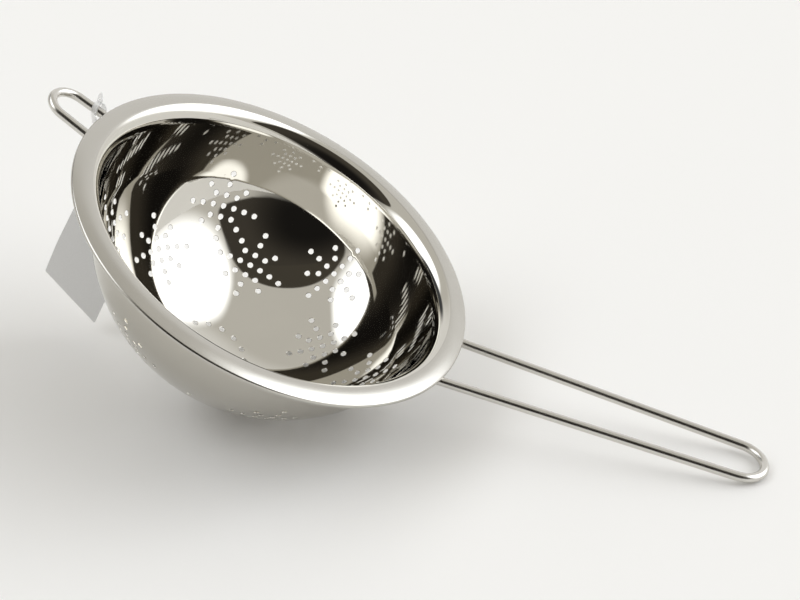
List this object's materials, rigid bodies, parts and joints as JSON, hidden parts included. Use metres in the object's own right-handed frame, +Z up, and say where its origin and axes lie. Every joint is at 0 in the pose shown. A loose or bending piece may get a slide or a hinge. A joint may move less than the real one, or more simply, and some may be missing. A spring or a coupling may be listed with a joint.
{
  "type": "pasta strainer",
  "caption": "Deep stainless strainer bowl with star-punched drain holes, a long wire-loop handle, a short wire rest loop opposite and a blank hang tag; lies tilted on its dome and handle tip.",
  "frame": {"origin": "on the table, under the middle of the bounding box, with the strainer lying tilted on its dome and handle tip", "axes": "+X from the rest loop towards the handle's tip, +Z up from the table, +Y to the side on which the tag hangs"},
  "size_m": [0.4146, 0.22, 0.1578],
  "materials": {
    "polished_steel": "stainless sheet, mirror-polished bowl with a satin-turned rim",
    "wire_steel": "drawn and polished stainless wire",
    "strap_plastic": "clear polypropylene strap",
    "tag_board": null
  },
  "bodies": {
    "strainer": {"bowl": "polished_steel", "long_handle": "wire_steel", "rest_loop": "wire_steel"},
    "strap": {"tag_tie": "strap_plastic"},
    "card": {"tag_card": "tag_board"}
  },
  "joints": [
    {"name": "tie_swing", "type": "hinge", "parent": "strainer", "child": "strap", "pos_m": [-0.15141, 0.01087, 0.14363], "axis": [0.8311, 0.0506, -0.5537], "range_deg": [0, 60]},
    {"name": "card_swing", "type": "hinge", "parent": "strap", "child": "card", "pos_m": [-0.16009, 0.01361, 0.0695], "axis": [0.3007, 0.9537, 0], "range_deg": [0, 70]}
  ]
}
